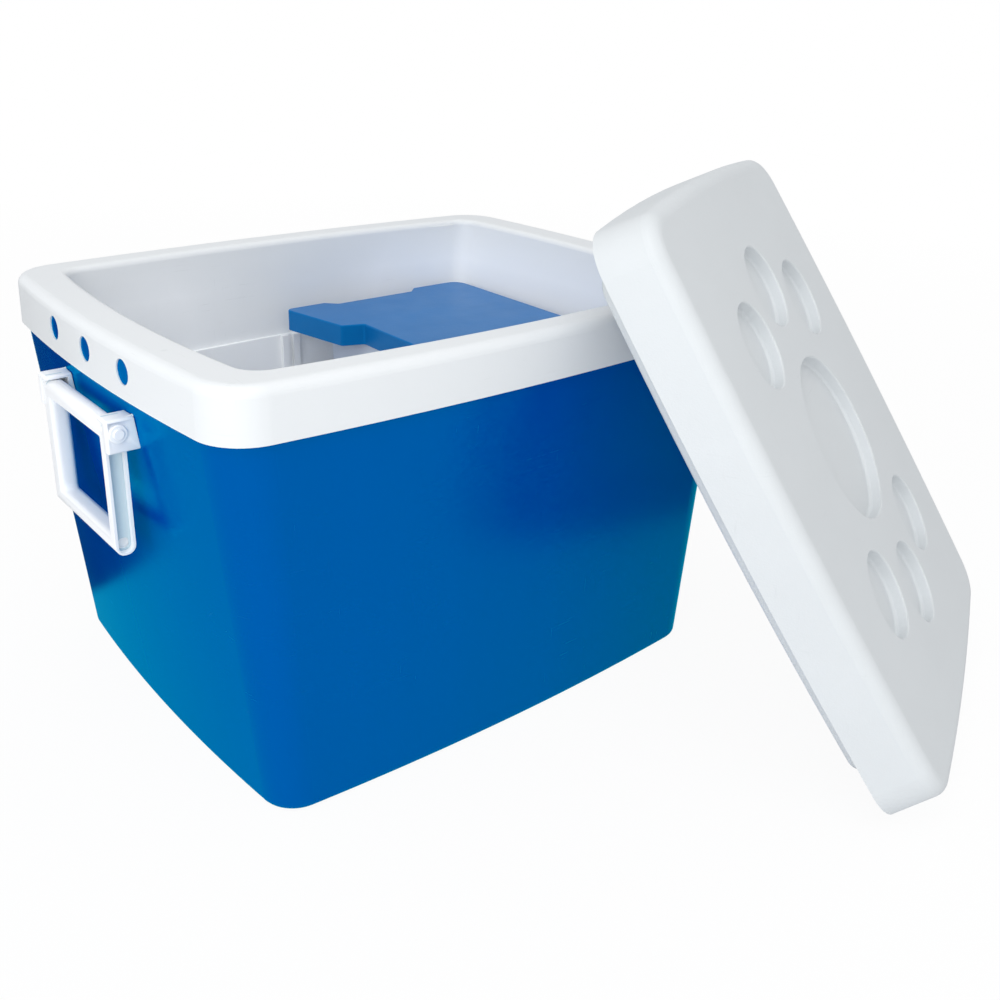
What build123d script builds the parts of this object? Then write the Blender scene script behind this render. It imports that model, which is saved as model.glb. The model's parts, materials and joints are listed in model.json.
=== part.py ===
from build123d import *
import os
from math import asin, atan, cos, degrees, radians, sin

# Insulated carrier for vaccines: a blue tapered tub with a white liner and collar, a swing
# handle at each end, a lidded box inside, and the white lid taken off and leaning on a corner.
# Millimetres, +Z up. The origin is the centre of the tub's base, on the floor; the handles are
# at -X and +X, and the lid leans on the corner of the rim at +X, -Y.

os.makedirs("parts", exist_ok=True)

# ---------------------------------------------------------------- driving dimensions
top_length = 522.0
top_width = 402.8
end_taper = 30.0
side_taper = 4.9
base_corner_radius = 30.0
base_edge_radius = 7.0
side_bow = 11.5
base_side_bow = 9.5
corner_radius = 39.0
shell_height = 338.5
shell_wall = 3.0

collar_wall = 4.0
collar_over_shell = 7.7
collar_height = 40.2
collar_top = 3.2
collar_top_draft = 0.8
rim_edge_radius = 8.0

end_rim_width = 35.6
side_rim_width = 29.5
opening_corner_radius = 19.0
opening_edge_radius = 5.0
liner_wall = 2.5
floor_foam = 32.5
liner_floor_radius = 10.0
ledge_drop = 94.2
ledge_step = 4.0
rib_width = 7.0
rib_slot = 5.0
rib_depth = 6.0

stud_diameter = 18.4
stud_spacing = 65.0
stud_drop = 12.0
stud_clearance = 0.3
stud_recess = 1.0

handle_outer_width = 120.0
handle_drop = 94.0
handle_depth = 15.0
handle_arm_thickness = 11.0
handle_bar_height = 11.0
handle_corner_radius = 10.0
handle_channel_depth = 5.5
handle_flange = 2.6
handle_window_radius = 4.0
handle_edge_radius = 2.0
handle_axis_drop = 23.0
handle_gap = 1.6
handle_pocket_depth = 3.0

bracket_height = 31.0
bracket_width = 17.5
bracket_drop = 15.0
bracket_cover = 1.0
bracket_cheek = 6.5
bracket_base = 3.4
bracket_roof_gap = 0.3
bracket_edge_radius = 2.0

pin_shank_diameter = 7.0
pin_head_diameter = 13.5
pin_head_height = 1.6
pin_nub_diameter = 8.0
pin_nub_height = 1.2
pin_radial_clearance = 0.05

screw_shank_diameter = 3.6
screw_head_diameter = 8.0
screw_head_height = 2.4
screw_spacing = 19.0
screw_length = 18.0
screw_seat = 0.3

lid_end_inset = 10.7
lid_side_inset = 1.2
lid_thickness = 46.0
lid_draft = 6.0
lid_corner_radius = 36.0
lid_length_bow = 8.3
lid_width_bow = 11.7
lid_edge_radius = 12.4
lid_wall = 2.5
cup_diameter = 72.0
dish_diameter = 146.0
recess_depth = 11.0
recess_edge_radius = 1.5
recess_floor_radius = 3.0
cup_column = 112.0
cup_row = 85.0
middle_cup_column = 143.0

plug_clearance = 1.5
plug_depth = 19.4
plug_draft = 2.0
plug_ring_width = 15.0
plug_edge_radius = 3.0
plug_least_radius = 4.0
pan_recess = 9.0

lid_overhang = 93.7
lid_yaw = -64.08
lid_side_shift = 28.0
lean_clearance = 0.3

box_lid_length = 214.4
box_lid_height = 20.0
box_lid_drop = 64.2
box_lid_end_clearance = 8.2
box_lid_side_clearance = 6.2
box_lid_outer_radius = 15.0
box_lid_tab_radius = 6.0
box_lid_notch_radius = 3.5
box_lid_wall = 2.5
box_lid_rim = 3.0
box_lid_edge_radius = 1.5
box_lid_rib_depth = 6.0
box_lid_rib_thickness = 2.0
end_notch_depth = 36.0
end_notch_width = 156.0
end_notch_taper = 7.0
tab_slant = 15.0
side_notch_depth = 10.2
side_notch_width = 110.0
side_notch_taper = 10.0
side_notch_offset = 99.6
box_wall = 2.5
box_clearance = 0.5
box_corner_radius = 12.0
box_floor_radius = 6.0

seat_clearance = 0.3
swing_clearance = 0.5

# ---------------------------------------------------------------- sizes that follow from them
base_length = top_length - 2 * end_taper
base_width = top_width - 2 * side_taper
rim_height = shell_height + collar_over_shell
collar_skirt_bottom = rim_height - collar_height
collar_length = top_length + 2 * collar_wall
collar_width = top_width + 2 * collar_wall
opening_length = collar_length - 2 * end_rim_width
opening_width = collar_width - 2 * side_rim_width
end_slope = end_taper / collar_skirt_bottom
side_slope = side_taper / collar_skirt_bottom
liner_floor_height = shell_wall + floor_foam + liner_wall
ledge_height = rim_height - ledge_drop
stud_height = shell_height - stud_drop
handle_axis_height = collar_skirt_bottom - handle_axis_drop
handle_stand_off = bracket_base + handle_gap + handle_depth / 2
bracket_reach = handle_stand_off + handle_depth / 2 + bracket_cover
lid_length = collar_length - 2 * lid_end_inset
lid_width = collar_width - 2 * lid_side_inset
lid_tilt = degrees(asin(rim_height / (lid_length - lid_overhang)))


# ---------------------------------------------------------------- shared shapes
def bowed_outline(half_length, half_width, length_bow, width_bow, radius, height):
    """A flat face with four sides that bow gently outward between rounded corners."""
    corner_x = half_length - length_bow
    corner_y = half_width - width_bow
    right = ThreePointArc((corner_x, -corner_y), (half_length, 0), (corner_x, corner_y))
    back = ThreePointArc((corner_x, corner_y), (0, half_width), (-corner_x, corner_y))
    left = ThreePointArc((-corner_x, corner_y), (-half_length, 0), (-corner_x, -corner_y))
    front = ThreePointArc((-corner_x, -corner_y), (0, -half_width), (corner_x, -corner_y))
    face = make_face([right, back, left, front])
    return Pos(0, 0, height) * fillet(face.vertices(), radius)


def blend(low, high, fraction):
    return low + (high - low) * fraction


def shell_outline(height, inset):
    """The tub's outline at one height: tapered up to the collar, then upright under it."""
    fraction = min(height / collar_skirt_bottom, 1.0)
    return bowed_outline(
        blend(base_length, top_length, fraction) / 2 - inset,
        blend(base_width, top_width, fraction) / 2 - inset,
        blend(base_side_bow, side_bow, fraction),
        blend(base_side_bow, side_bow, fraction),
        blend(base_corner_radius, corner_radius, fraction) - inset,
        height,
    )


def shell_form(inset, low, high):
    levels = [low, collar_skirt_bottom, high]
    return loft([shell_outline(level, inset) for level in levels], ruled=True)


def collar_form(inset):
    """The collar's outer form, with its rounded top edge."""
    faces = []
    for height, draft in ((collar_skirt_bottom, 0.0), (rim_height - inset, collar_top_draft)):
        faces.append(
            bowed_outline(
                collar_length / 2 - draft - inset,
                collar_width / 2 - draft - inset,
                side_bow,
                side_bow,
                corner_radius - inset,
                height,
            )
        )
    form = loft(faces, ruled=True)
    return fillet(form.faces().sort_by(Axis.Z)[-1].edges(), rim_edge_radius - inset)


def cavity_face(height, offset, step):
    """The inside of the liner at one height, drafted down from the rim."""
    half_length = opening_length / 2 - (rim_height - height) * end_slope - step
    half_width = opening_width / 2 - (rim_height - height) * side_slope - step
    radius = opening_corner_radius + offset
    return bowed_outline(half_length + offset, half_width + offset, side_bow, side_bow, radius, height)


def liner_form(offset):
    """The liner's cavity as a solid, grown by an offset; the ledge steps it in on all sides."""
    ledge = ledge_height - offset
    floor = liner_floor_height - offset
    upper = loft([cavity_face(ledge, offset, 0.0), cavity_face(rim_height, offset, 0.0)], ruled=True)
    lower = loft(
        [cavity_face(floor, offset, ledge_step), cavity_face(ledge + 1, offset, ledge_step)],
        ruled=True,
    )
    lower = fillet(lower.faces().sort_by(Axis.Z)[0].edges(), liner_floor_radius + offset)
    return upper + lower


# ---------------------------------------------------------------- outer shell
wall_angle = degrees(atan(end_slope))
stud_places = [-stud_spacing, 0.0, stud_spacing]
cheek_inner = handle_outer_width / 2 + swing_clearance
cheek_outer = cheek_inner + bracket_cheek
cheek_middle = (cheek_inner + cheek_outer) / 2
screw_heights = [handle_axis_height - screw_spacing / 2, handle_axis_height + screw_spacing / 2]


def end_cylinder(radius, y, z, start, length):
    """A cylinder along X that starts at one x and runs towards -X."""
    return Pos(start - length / 2, y, z) * Rot(0, 90, 0) * Cylinder(radius, length)


def both_ends(piece):
    return piece + mirror(piece, Plane.YZ)


def left_wall(y, z):
    """Where the outer face of the bowed left wall is, below the collar."""
    fraction = z / collar_skirt_bottom
    bow = blend(base_side_bow, side_bow, fraction)
    half_chord = blend(base_width, top_width, fraction) / 2 - bow
    bow_radius = (half_chord**2 + bow**2) / (2 * bow)
    drop = bow_radius - (bow_radius**2 - y**2) ** 0.5
    return drop - blend(base_length, top_length, fraction) / 2


def wall_cylinder(radius, y, z, depth, length):
    """A cylinder square to the sloping left wall, from a depth inside its face outward."""
    place = Pos(left_wall(y, z), y, z) * Rot(0, -wall_angle, 0)
    return place * Pos(depth - length / 2, 0, 0) * Rot(0, 90, 0) * Cylinder(radius, length)


axis_wall = -left_wall(0.0, handle_axis_height)
axis_x = -(axis_wall + handle_stand_off)


def make_shell():
    shell = shell_form(0.0, 0.0, shell_height)
    shell = fillet(shell.faces().sort_by(Axis.Z)[0].edges(), base_edge_radius)
    studs = Part()
    for y in stud_places:
        studs += end_cylinder(stud_diameter / 2, y, stud_height, -top_length / 2 + side_bow, side_bow * 2)
    shell += both_ends(studs) & collar_form(stud_recess)
    shell -= shell_form(shell_wall, shell_wall, shell_height)
    holes = Part()
    for y in (-cheek_middle, cheek_middle):
        for z in screw_heights:
            holes += wall_cylinder(screw_shank_diameter / 2, y, z, shell_wall * 2, shell_wall * 4)
    return shell - both_ends(holes)


# ---------------------------------------------------------------- liner with collar
def make_liner():
    collar = collar_form(0.0)
    collar -= shell_form(-seat_clearance, collar_skirt_bottom - 1, shell_height)
    collar -= loft(
        [shell_outline(shell_height, shell_wall), shell_outline(rim_height - collar_top, shell_wall)],
        ruled=True,
    )
    liner = collar + liner_form(liner_wall)
    liner -= liner_form(0.0)
    liner &= Pos(0, 0, rim_height / 2) * Box(collar_length * 2, collar_width * 2, rim_height)
    holes = Part()
    for y in stud_places:
        radius = stud_diameter / 2 + stud_clearance
        holes += end_cylinder(radius, y, stud_height, -top_length / 2 + side_bow, side_bow * 2)
    liner -= both_ends(holes)
    mouth = liner.faces().sort_by(Axis.Z)[-1].inner_wires()[0].edges()
    liner = fillet(mouth, opening_edge_radius)
    return liner + make_guide_ribs()


def make_guide_ribs():
    """Two pairs of upright ribs on the long walls, each pair with a slot for a divider."""
    ribs = Part()
    height = ledge_height - liner_floor_height
    face = opening_width / 2 - ledge_step - rib_depth
    for x in (-(rib_slot + rib_width) / 2, (rib_slot + rib_width) / 2):
        for side in (-1, 1):
            depth = opening_width / 2 - face
            center = Pos(x, side * (face + depth / 2), liner_floor_height + height / 2)
            ribs += center * Box(rib_width, depth, height)
    return ribs & liner_form(liner_wall / 2)


def make_insulation():
    """Foam between the shell and the liner, up into the collar."""
    gap = seat_clearance
    foam = shell_form(shell_wall + gap, shell_wall + gap, shell_height)
    under_top = rim_height - collar_top - gap
    foam += loft(
        [shell_outline(shell_height, shell_wall + gap), shell_outline(under_top, shell_wall + gap)],
        ruled=True,
    )
    foam -= liner_form(liner_wall + gap)
    heads = Part()
    for y in (-cheek_middle, cheek_middle):
        for z in screw_heights:
            radius = screw_head_diameter / 2 + swing_clearance
            depth = shell_wall + screw_head_height + side_bow
            heads += wall_cylinder(radius, y, z, depth, depth)
    return foam - both_ends(heads)


# ---------------------------------------------------------------- swing handles
def stadium(height_low, height_high, radius, width, y):
    """A bar with half-round ends, upright in X and Z, with its thickness along Y."""
    length = height_high - height_low
    face = SlotOverall(length, radius * 2, rotation=90)
    place = Pos(axis_x, y - width / 2, (height_low + height_high) / 2) * Rot(90, 0, 0)
    return place * extrude(face, -width)


def frame_plate(width, low, high, radius):
    """A rectangle in Y and Z with rounded lower corners, run through the handle along X."""
    face = Pos(0, (low + high) / 2) * Rectangle(width, high - low)
    face = fillet(face.vertices().group_by(Axis.Y)[0], radius)
    plane = Plane(origin=(axis_x - handle_depth, 0, 0), x_dir=(0, 1, 0), z_dir=(1, 0, 0))
    return plane * extrude(face, handle_depth * 2)


def make_handle():
    half_depth = handle_depth / 2
    bottom = handle_axis_height - handle_drop
    top = handle_axis_height + half_depth
    bar_top = handle_axis_height + handle_bar_height / 2
    bar_bottom = handle_axis_height - handle_bar_height / 2
    inner_width = handle_outer_width - 2 * handle_arm_thickness
    handle = stadium(bottom, top, half_depth, handle_outer_width, 0)
    handle &= frame_plate(handle_outer_width, bottom, top, handle_corner_radius)
    grip_top = bottom + handle_bar_height
    handle -= frame_plate(inner_width, grip_top, bar_bottom, handle_window_radius)
    handle -= Pos(axis_x, 0, bar_top + half_depth) * Box(handle_depth * 2, inner_width, half_depth * 2)
    rims = handle.edges().filter_by(Axis.Y).filter_by_position(Axis.Z, grip_top - 1, bar_bottom + 1)
    handle = fillet(rims, handle_edge_radius)
    channel_radius = half_depth - handle_flange
    channel_top = bar_bottom - handle_flange
    channel_bottom = bottom + handle_flange
    pocket_top = channel_bottom + 2 * channel_radius + handle_flange
    for side in (-1, 1):
        face = side * handle_outer_width / 2
        y = face - side * handle_channel_depth / 2
        handle -= stadium(channel_bottom, channel_top, channel_radius, handle_channel_depth, y)
        depth = handle_channel_depth + handle_pocket_depth
        y = face - side * depth / 2
        pocket_radius = channel_radius - handle_flange / 2
        pocket_low = channel_bottom + handle_flange / 2
        handle -= stadium(pocket_low, pocket_top, pocket_radius, depth, y)
        hole = Cylinder(pin_shank_diameter / 2 + pin_radial_clearance, handle_arm_thickness * 2)
        handle -= Pos(axis_x, face, handle_axis_height) * Rot(90, 0, 0) * hole
    return handle


# ---------------------------------------------------------------- brackets, pins and screws
def make_bracket():
    """The left end's bracket at +Y: a cheek outside the arm, a base on the wall and a roof."""
    block_inner = cheek_outer - bracket_width
    outer_face = -(axis_wall + bracket_reach)
    low = handle_axis_height - bracket_drop
    high = low + bracket_height
    depth = bracket_reach + side_bow
    middle_y = (block_inner + cheek_outer) / 2
    block = Pos(outer_face + depth / 2, middle_y, (low + high) / 2)
    block = block * Box(depth, bracket_width, bracket_height)
    outside = block.faces().sort_by(Axis.X)[0].edges() + block.edges().filter_by(Axis.X)
    block = fillet(outside, bracket_edge_radius)
    roof = handle_axis_height + handle_depth / 2 + bracket_roof_gap
    base_face = -(axis_wall + bracket_base)
    pocket_depth = base_face - outer_face + 1
    pocket_height = roof - low + 1
    pocket_width = cheek_inner - block_inner + 1
    block -= Pos(
        base_face - pocket_depth / 2, cheek_inner - pocket_width / 2, roof - pocket_height / 2
    ) * Box(pocket_depth, pocket_width, pocket_height)
    block -= shell_form(0.0, 0.0, shell_height)
    hole = Cylinder(pin_shank_diameter / 2 + pin_radial_clearance, bracket_width * 2)
    block -= Pos(axis_x, cheek_middle, handle_axis_height) * Rot(90, 0, 0) * hole
    for z in screw_heights:
        block -= wall_cylinder(screw_shank_diameter / 2, cheek_middle, z, shell_wall, screw_length)
    return block


def make_pin():
    """A pin through the cheek and the arm, with a round head and a nub proud of the cheek."""
    inner = handle_outer_width / 2 - handle_arm_thickness + handle_channel_depth
    length = cheek_outer - inner
    shank = Pos(0, inner + length / 2) * Rot(90, 0, 0) * Cylinder(pin_shank_diameter / 2, length)
    head = Cylinder(pin_head_diameter / 2, pin_head_height)
    head = fillet(head.edges().group_by(Axis.Z)[0], pin_head_height / 2)
    head = Pos(0, cheek_outer + pin_head_height / 2) * Rot(90, 0, 0) * head
    nub = Cylinder(pin_nub_diameter / 2, pin_nub_height)
    nub = fillet(nub.edges().group_by(Axis.Z)[0], pin_nub_height / 2)
    nub = Pos(0, cheek_outer + pin_head_height + pin_nub_height / 2) * Rot(90, 0, 0) * nub
    return Pos(axis_x, 0, handle_axis_height) * (shank + head + nub)


def make_screws():
    """Two screws from inside the shell into one bracket's cheek."""
    screws = []
    for z in screw_heights:
        head_depth = shell_wall + screw_head_height + screw_seat
        shank = wall_cylinder(screw_shank_diameter / 2, cheek_middle, z, head_depth, screw_length)
        head = wall_cylinder(screw_head_diameter / 2, cheek_middle, z, head_depth, screw_head_height)
        screws.append(shank + head)
    return Compound(children=screws)


# ---------------------------------------------------------------- the carrier's lid
def lid_outline(height, inset):
    """The lid's outline in its own frame: height 0 is its lower edge, drafted in to the top."""
    draft = lid_draft * height / lid_thickness
    return bowed_outline(
        lid_length / 2 - draft - inset,
        lid_width / 2 - draft - inset,
        lid_length_bow,
        lid_width_bow,
        lid_corner_radius - inset,
        height,
    )


def lid_form(inset, low):
    form = loft([lid_outline(low, inset), lid_outline(lid_thickness - inset, inset)], ruled=True)
    return fillet(form.faces().sort_by(Axis.Z)[-1].edges(), lid_edge_radius - inset)


def recess_form(offset, floor_radius):
    """The six cup rests and the round dish in the middle, as solids reaching above the lid."""
    places = [(x, y) for x in (-cup_column, cup_column) for y in (-cup_row, cup_row)]
    places += [(-middle_cup_column, 0), (middle_cup_column, 0)]
    bottom = lid_thickness - recess_depth - offset
    height = lid_thickness - bottom + 1
    forms = Part()
    rounds = [(x, y, cup_diameter / 2) for x, y in places] + [(0, 0, dish_diameter / 2)]
    for x, y, radius in rounds:
        disc = Cylinder(radius + offset, height, align=(Align.CENTER, Align.CENTER, Align.MIN))
        if floor_radius:
            disc = fillet(disc.edges().group_by(Axis.Z)[0], floor_radius)
        forms += Pos(x, y, bottom) * disc
    return forms


def plug_outline(height, inset):
    """The plug under the lid, which fits the carrier's opening with a clearance all round."""
    draft = plug_draft * -height / plug_depth
    return bowed_outline(
        opening_length / 2 - plug_clearance - draft - inset,
        opening_width / 2 - plug_clearance - draft - inset,
        side_bow,
        side_bow,
        max(opening_corner_radius - plug_clearance - inset, plug_least_radius),
        height,
    )


def plug_form(inset, low, high):
    return loft([plug_outline(low, inset), plug_outline(high, inset)], ruled=True)


def panel_form(offset):
    """The space inside the plug's ring, up to the recessed panel, grown by an offset."""
    inset = plug_ring_width - offset
    return plug_form(inset, -plug_depth, pan_recess + offset)


def make_lid_shell():
    shell = lid_form(0.0, 0.0) - lid_form(lid_wall, 0.0)
    skin = lid_form(0.0, 0.0) & recess_form(lid_wall, 0.0)
    shell = shell + skin - recess_form(0.0, recess_floor_radius)
    rims = shell.faces().filter_by(Plane.XY).sort_by(Axis.Z)[-1].inner_wires()
    edges = [edge for wire in rims for edge in wire.edges()]
    return fillet(edges, recess_edge_radius)


def make_lid_pan():
    flange = lid_outline(lid_wall, lid_wall + seat_clearance)
    pan = Pos(0, 0, -lid_wall) * extrude(flange, lid_wall)
    plug = plug_form(0.0, -plug_depth, 0.0)
    pan += fillet(plug.faces().sort_by(Axis.Z)[0].edges(), plug_edge_radius)
    pan -= plug_form(lid_wall, -plug_depth + lid_wall, lid_wall)
    pan += panel_form(lid_wall)
    return pan - panel_form(0.0)


def make_lid_insulation():
    """Foam between the lid's shell and its pan, clear of the cup rests above and the panel below."""
    gap = seat_clearance
    foam = lid_form(lid_wall + gap, lid_wall + gap)
    foam += plug_form(lid_wall + gap, -plug_depth + lid_wall + gap, lid_wall + gap)
    foam -= recess_form(lid_wall + gap, 0.0)
    return foam - panel_form(lid_wall + gap)


def lid_place():
    """Where the lid leans: its lower edge on the floor, its panel on the rim's +X, -Y corner."""
    tilt = radians(lid_tilt)
    yaw = radians(lid_yaw)
    height = lid_length / 2 * sin(tilt)
    reach = (Rot(0, -lid_tilt, 0) * Rot(0, 0, -lid_yaw) * collar_form(0.0)).bounding_box().max.Z
    ahead = (reach - pan_recess + lean_clearance - cos(tilt) * height) / sin(tilt)
    corner_x = collar_length / 2 - side_bow - corner_radius
    corner_y = collar_width / 2 - side_bow - corner_radius
    across = -corner_y * cos(yaw) - corner_x * sin(yaw) - lid_side_shift
    x = ahead * cos(yaw) - across * sin(yaw)
    y = ahead * sin(yaw) + across * cos(yaw)
    return Pos(x, y, height) * Rot(0, 0, lid_yaw) * Rot(0, lid_tilt, 0)


# ---------------------------------------------------------------- the box inside and its lid
box_lid_top = rim_height - box_lid_drop
cavity_end = opening_length / 2 - box_lid_drop * end_slope - side_bow
cavity_side = opening_width / 2 - box_lid_drop * side_slope - side_bow
box_lid_right_edge = cavity_end - box_lid_end_clearance
box_lid_left_edge = box_lid_right_edge - box_lid_length
box_lid_width = 2 * (cavity_side - box_lid_side_clearance)
side_notch_center = box_lid_left_edge + side_notch_offset
box_top = box_lid_top - box_lid_rim
box_left = box_lid_left_edge + end_notch_depth + box_lid_wall + box_clearance
box_right = box_lid_right_edge - box_lid_wall - box_clearance
box_half_width = box_lid_width / 2 - side_notch_depth - box_lid_wall - box_clearance
box_floor = liner_floor_height + seat_clearance


def rounded_face(corners):
    """The face inside the corners, each of them given with the radius that rounds it."""
    face = make_face(Polyline(*[(x, y) for x, y, radius in corners], close=True))
    for size in sorted({radius for x, y, radius in corners}):
        places = [Vector(x, y) for x, y, radius in corners if radius == size]
        chosen = [v for v in face.vertices() if min((v.center() - p).length for p in places) < 0.01]
        face = fillet(chosen, size)
    return face


def box_lid_outline(inset, height):
    """The blue lid's outline: slanted tabs beside an end notch, and a notch in each long edge."""
    bulge = box_lid_notch_radius - inset
    hollow = box_lid_notch_radius + inset
    left = box_lid_left_edge + inset
    edge = box_lid_width / 2 - inset
    deep = edge - side_notch_depth
    mouth = end_notch_width / 2 + inset
    wide = side_notch_width / 2 + inset
    narrow = wide - side_notch_taper
    half = [
        (box_lid_right_edge - inset, edge, box_lid_outer_radius - inset),
        (side_notch_center + wide, edge, bulge),
        (side_notch_center + narrow, deep, hollow),
        (side_notch_center - narrow, deep, hollow),
        (side_notch_center - wide, edge, bulge),
        (left, edge, box_lid_tab_radius - inset),
        (left + tab_slant, mouth, bulge),
        (left + end_notch_depth, mouth - end_notch_taper, hollow),
    ]
    outline = half + [(x, -y, radius) for x, y, radius in reversed(half)]
    return Pos(0, 0, height) * rounded_face(outline)


def box_opening(inset, height):
    middle = (box_left + box_right) / 2
    face = Rectangle(box_right - box_left - 2 * inset, 2 * box_half_width - 2 * inset)
    return Pos(middle, 0, height) * fillet(face.vertices(), box_corner_radius - inset)


def make_box_lid():
    bottom = box_lid_top - box_lid_height
    lid = extrude(box_lid_outline(0.0, bottom), box_lid_height)
    lid = fillet(lid.faces().sort_by(Axis.Z)[-1].edges(), box_lid_edge_radius)
    lid -= extrude(box_lid_outline(box_lid_wall, bottom), box_lid_height - box_lid_rim)
    ring_low = box_top - box_lid_rib_depth
    inner = box_wall + box_clearance + box_lid_rib_depth * end_slope
    ring = extrude(box_opening(inner, ring_low), box_lid_rib_depth)
    ring -= extrude(box_opening(inner + box_lid_rib_thickness, ring_low), box_lid_rib_depth)
    return lid + ring


def box_form(inset, low):
    """The inner box, drafted in to its floor; the end beside the carrier's wall leans with it."""
    end_draft = (box_top - low) * end_slope
    side_draft = (box_top - low) * side_slope
    length = box_right - box_left - end_draft - side_draft
    middle = (box_left + side_draft + box_right - end_draft) / 2
    floor = Rectangle(length - 2 * inset, 2 * (box_half_width - side_draft - inset))
    floor = Pos(middle, 0, low) * fillet(floor.vertices(), box_corner_radius - inset)
    return loft([floor, box_opening(inset, box_top)], ruled=True)


def make_inner_box():
    outer = box_form(0.0, box_floor)
    outer = fillet(outer.faces().sort_by(Axis.Z)[0].edges(), box_floor_radius)
    inner = box_form(box_wall, box_floor + box_wall)
    inner = fillet(inner.faces().sort_by(Axis.Z)[0].edges(), box_floor_radius - box_wall)
    return outer - inner


# ---------------------------------------------------------------- the parts
def write(name, shape):
    shape.label = name
    export_step(shape, f"parts/{name}.step")


write("outer_shell", make_shell())
write("inner_liner", make_liner())
write("body_insulation", make_insulation())

left_handle = make_handle()
write("left_handle", left_handle)
write("right_handle", mirror(left_handle, Plane.YZ))

fittings = {"bracket": make_bracket(), "pivot_pin": make_pin(), "bracket_screws": make_screws()}
for fitting, far_piece in fittings.items():
    for depth_side, piece in (("far", far_piece), ("near", mirror(far_piece, Plane.XZ))):
        write(f"left_{depth_side}_{fitting}", piece)
        write(f"right_{depth_side}_{fitting}", mirror(piece, Plane.YZ))

write("lid_shell", lid_place() * make_lid_shell())
write("lid_inner_pan", lid_place() * make_lid_pan())
write("lid_insulation", lid_place() * make_lid_insulation())

write("inner_box", make_inner_box())
write("inner_box_lid", make_box_lid())
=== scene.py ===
import json
import math

import bmesh
import bpy
from mathutils import Matrix, Vector


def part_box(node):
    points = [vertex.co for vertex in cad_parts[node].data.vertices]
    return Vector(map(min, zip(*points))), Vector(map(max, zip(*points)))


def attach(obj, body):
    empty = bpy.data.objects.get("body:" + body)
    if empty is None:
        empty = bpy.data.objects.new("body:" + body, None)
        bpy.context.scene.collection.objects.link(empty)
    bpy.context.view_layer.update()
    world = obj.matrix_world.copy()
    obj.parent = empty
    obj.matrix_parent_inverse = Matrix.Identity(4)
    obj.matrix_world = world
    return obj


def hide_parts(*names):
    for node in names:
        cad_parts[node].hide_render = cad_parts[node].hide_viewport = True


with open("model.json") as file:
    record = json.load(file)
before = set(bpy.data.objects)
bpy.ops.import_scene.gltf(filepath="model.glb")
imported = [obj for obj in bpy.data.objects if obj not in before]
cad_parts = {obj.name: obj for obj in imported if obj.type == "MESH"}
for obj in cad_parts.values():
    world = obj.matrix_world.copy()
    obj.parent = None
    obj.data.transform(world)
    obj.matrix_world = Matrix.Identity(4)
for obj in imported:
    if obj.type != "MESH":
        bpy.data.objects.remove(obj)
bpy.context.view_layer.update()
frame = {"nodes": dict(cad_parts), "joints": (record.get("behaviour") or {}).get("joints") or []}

bl_info = {
    "name": "Vaccine Carrier Dresser",
    "version": (1, 0, 0),
    "blender": (4, 5, 0),
    "location": "View3D > Sidebar > Carrier",
    "description": "Gives the carrier's moulded parts their finish and sets up the studio",
    "category": "Object",
}

ENDS = ("left", "right")
CORNERS = [f"{end}_{depth}" for end in ENDS for depth in ("near", "far")]

# Lengths are metres. How the lid leans, in degrees: a turn about Z, then a tilt about its own Y.
LID_YAW = -64.08
LID_TILT = 56.56

# Places that finishes and the painted light and shade follow, measured from the middle of the
# tub's base.
WORN_HEIGHT = 0.028
LINER_INSIDE_X = 0.23
LINER_INSIDE_Y = 0.172
LINER_INSIDE_TOP = 0.345
CHANNEL_FLOOR_X = 0.2715
CHANNEL_FLOOR_Y = 0.0545
CHANNEL_HALF_WIDTH = 0.006
INNER_BOX_TOP = 0.26
INNER_BOX_SHADED = 0.22

# Second colours of the finishes, among them painted light and painted shade, and the blue that the
# coats of the shell and of the inner box's lid give to what they mirror. The shell's coat mirrors
# more where it is seen at a low angle.
# Painted light on the inside of the liner.
LINER_INSIDE_PAINTED_LIGHT = (0.96, 0.98, 1.0, 1.0)
# Painted shade and painted blue reflection on the channel floors of the handles.
CHANNEL_FLOOR_PAINTED_SHADE = (0.56, 0.69, 0.76, 1.0)
GLOSS_TINT = (0.0, 0.86, 1.0, 1.0)
GLOSS_IOR = 2.1
BOX_LID_TINT = (0.05, 0.7, 1.0, 1.0)

# Handles and brackets. A face lies square to an axis when its normal has this much of it, and two
# places are the same when they are this close.
SQUARE = 0.9999
TOUCH = 1e-4
MERGE_DISTANCE = 1e-6
WINDOW_CORNER = 0.004
CHANNEL_BELOW_AXIS = 0.009
CHANNEL_END_EASE = 0.0007
CHANNEL_TOP_BAND = 0.002
POCKET_TOP_BAND = 0.03
POCKET_INSET = 0.0012
POCKET_DEPTH = 0.0028
BRACKET_ROOF_BAND = 0.0025
HANDLE_SOFTNESS = 0.0006
BRACKET_SOFTNESS = 0.0005
SHARP_ANGLE = math.radians(38)
SMOOTH_ANGLE = math.radians(35)
COPLANAR_ANGLE = math.radians(0.5)

# The stage. The floor glows white to the camera, and a little less near the tub, so that the
# shadow there stays. In what gloss mirrors, the floor shows a painted reflection: a greyer sky,
# and a dark card at the back left that is only painted there.
WHITE = (1.0, 1.0, 1.0, 1.0)
BLACK = (0.0, 0.0, 0.0, 1.0)
FLOOR_SIZE = 80.0
FLOOR_COLOUR = (0.86, 0.87, 0.88, 1.0)
FLOOR_GLOW = 0.94
GLOW_RISES_FROM = 0.9
GLOW_RISES_OVER = 1.6
MIRRORED_SKY = (0.6, 0.62, 0.65, 1.0)
CARD_CORNER = (-0.353, 0.206)
CARD_SLANT = 0.42
CARD_FRONT = 0.215
CARD_RIGHT = -0.2
CARD_EDGE = 0.02
KEY_PLACE = (-2.2, -1.65, 0.95)
KEY_SIZE = 2.2
TOP_PLACE = (-0.7, -0.75, 2.3)
TOP_SIZE = 2.0
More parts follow.
